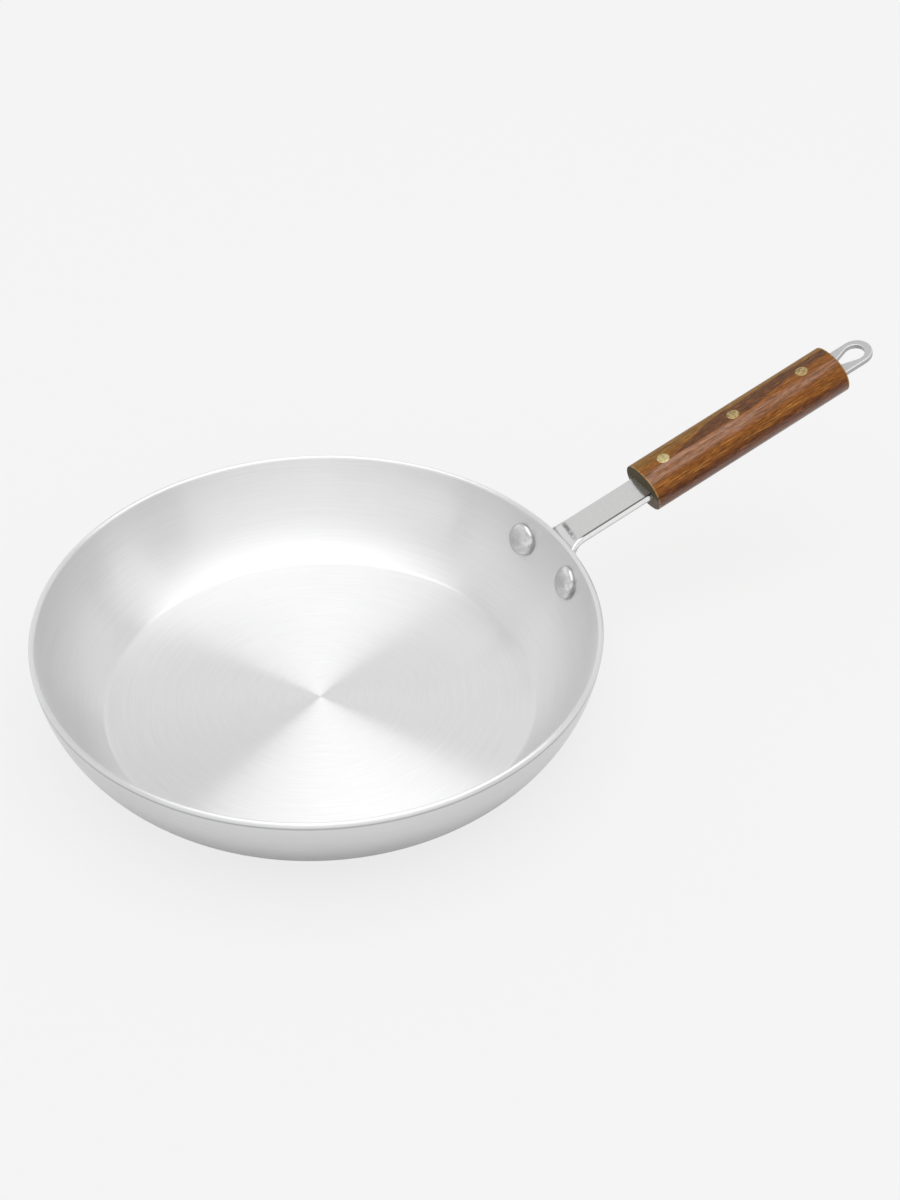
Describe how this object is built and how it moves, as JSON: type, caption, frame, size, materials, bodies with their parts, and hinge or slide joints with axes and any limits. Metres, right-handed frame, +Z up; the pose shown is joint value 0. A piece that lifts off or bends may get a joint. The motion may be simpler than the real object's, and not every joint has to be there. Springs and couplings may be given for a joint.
{
  "type": "omelette pan",
  "caption": "Round shallow frying pan with curved flaring sides, a riveted metal strap handle, a pinned wooden grip and a teardrop hanging eye.",
  "frame": {"origin": "centre of the flat underside of the base", "axes": "+Z up out of the bowl, +X from the bowl's centre along the handle, +Y to the left of the handle seen from above with the handle pointing away"},
  "size_m": [0.4076, 0.24, 0.0886],
  "materials": {
    "brushed_aluminium": "spun, with fine concentric brushing inside, bright lip",
    "polished_steel": "polished stainless steel with rounded edges, tumbled grey round the eye",
    "rivet_aluminium": "satin",
    "varnished_wood": "varnished reddish-brown hardwood with dark and golden streaks along the grip",
    "pin_brass": "filed flush, satin"
  },
  "bodies": {
    "root": {"pan_bowl": "brushed_aluminium", "handle_strap": "polished_steel", "wall_rivet_left": "rivet_aluminium", "wall_rivet_right": "rivet_aluminium", "grip_scale_upper": "varnished_wood", "grip_scale_lower": "varnished_wood", "grip_pin_front": "pin_brass", "grip_pin_middle": "pin_brass", "grip_pin_rear": "pin_brass"}
  },
  "joints": []
}
